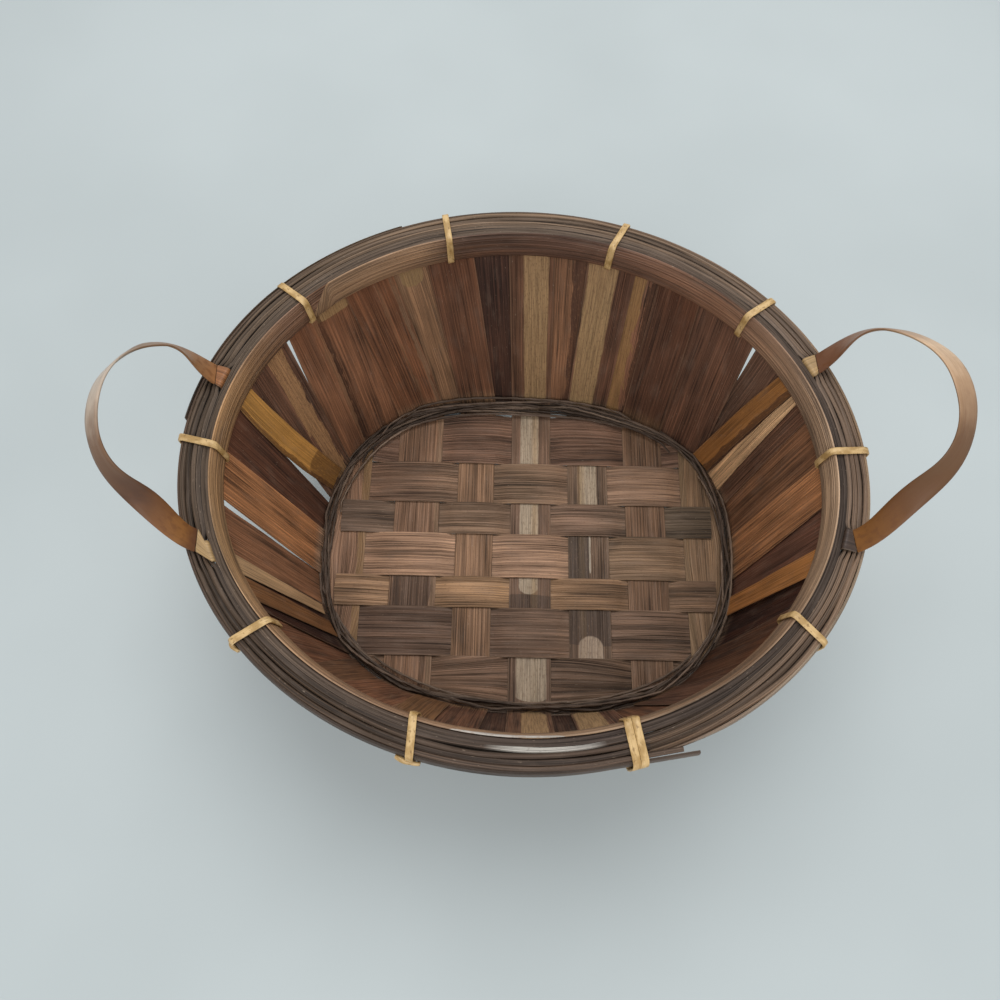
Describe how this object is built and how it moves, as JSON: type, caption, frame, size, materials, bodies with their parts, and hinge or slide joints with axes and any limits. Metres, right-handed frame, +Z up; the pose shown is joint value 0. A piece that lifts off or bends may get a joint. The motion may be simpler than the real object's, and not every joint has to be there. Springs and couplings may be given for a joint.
{
  "type": "oval split-cane basket",
  "caption": "Oval basket of woven oak splints with a lashed rim of hoops and rods and two creased strap handles that fold at the rim.",
  "frame": {"origin": "middle of the basket's own box, on the surface that it stands on", "axes": "+X along the long axis towards the right handle, +Y towards the back, +Z up"},
  "size_m": [0.424, 0.335, 0.2207],
  "materials": {
    "base_splint": "split oak, ridged and weathered, matt",
    "wall_stave": "split oak, fine lengthwise grain, matt",
    "filler_stave": "split oak in shadow, matt",
    "inner_strip": "thin cane strip, satin",
    "rim_hoop": "bent oak band, fine grooves, satin",
    "rim_rod": "round reed, weathered, matt",
    "cane_lashing": "split cane with its skin, satin",
    "twining": "dark twisted reed, matt",
    "handle_strap": "bent hickory strap, satin"
  },
  "bodies": {
    "basket": {"base_column_1": "base_splint", "base_column_2": "base_splint", "base_column_3": "base_splint", "base_column_4": "base_splint", "base_column_5": "base_splint", "base_column_6": "base_splint", "base_column_7": "base_splint", "base_row_1": "base_splint", "base_row_2": "base_splint", "base_row_3": "base_splint", "base_row_4": "base_splint", "base_row_5": "base_splint", "base_row_6": "base_splint", "base_row_7": "base_splint", "filler_back_left": "filler_stave", "filler_back_middle": "filler_stave", "filler_back_right": "filler_stave", "filler_front_left": "filler_stave", "filler_front_right": "filler_stave", "filler_left": "filler_stave", "filler_right": "filler_stave", "lashing_back_left": "cane_lashing", "lashing_back_left_corner": "cane_lashing", "lashing_back_right": "cane_lashing", "lashing_back_right_corner": "cane_lashing", "lashing_front_left": "cane_lashing", "lashing_front_left_corner": "cane_lashing", "lashing_front_right": "cane_lashing", "lashing_front_right_corner": "cane_lashing", "lashing_left": "cane_lashing", "lashing_right": "cane_lashing", "left_handle_tuck_back": "handle_strap", "left_handle_tuck_front": "handle_strap", "right_handle_tuck_back": "handle_strap", "right_handle_tuck_front": "handle_strap", "rim_inner_hoop": "rim_hoop", "rim_outer_hoop": "rim_hoop", "rim_rod_1": "rim_rod", "rim_rod_2": "rim_rod", "rim_rod_3": "rim_rod", "rim_rod_4": "rim_rod", "stave_back_left_high": "wall_stave", "stave_back_left_low": "wall_stave", "stave_back_right_high": "wall_stave", "stave_back_right_low": "wall_stave", "stave_front": "wall_stave", "stave_front_left_high": "wall_stave", "stave_front_left_low": "wall_stave", "stave_front_right": "wall_stave", "stave_left": "wall_stave", "stave_right": "wall_stave", "strip_back_right": "inner_strip", "strip_front": "inner_strip", "strip_front_left": "inner_strip", "strip_left": "inner_strip", "strip_right": "inner_strip", "strip_right_pale": "inner_strip", "twining": "twining"},
    "left_loop": {"left_handle": "handle_strap"},
    "right_loop": {"right_handle": "handle_strap"}
  },
  "joints": [
    {"name": "left_handle_crease", "type": "hinge", "parent": "basket", "child": "left_loop", "pos_m": [-0.17344, -0.01198, 0.1501], "axis": [0.0894, -0.996, 0], "range_deg": [-32, 38], "stiffness_Nm_per_rad": 0.05},
    {"name": "right_handle_crease", "type": "hinge", "parent": "basket", "child": "right_loop", "pos_m": [0.17154, 0.01315, 0.1501], "axis": [-0.0993, 0.9951, 0], "range_deg": [-32, 38], "stiffness_Nm_per_rad": 0.05}
  ]
}
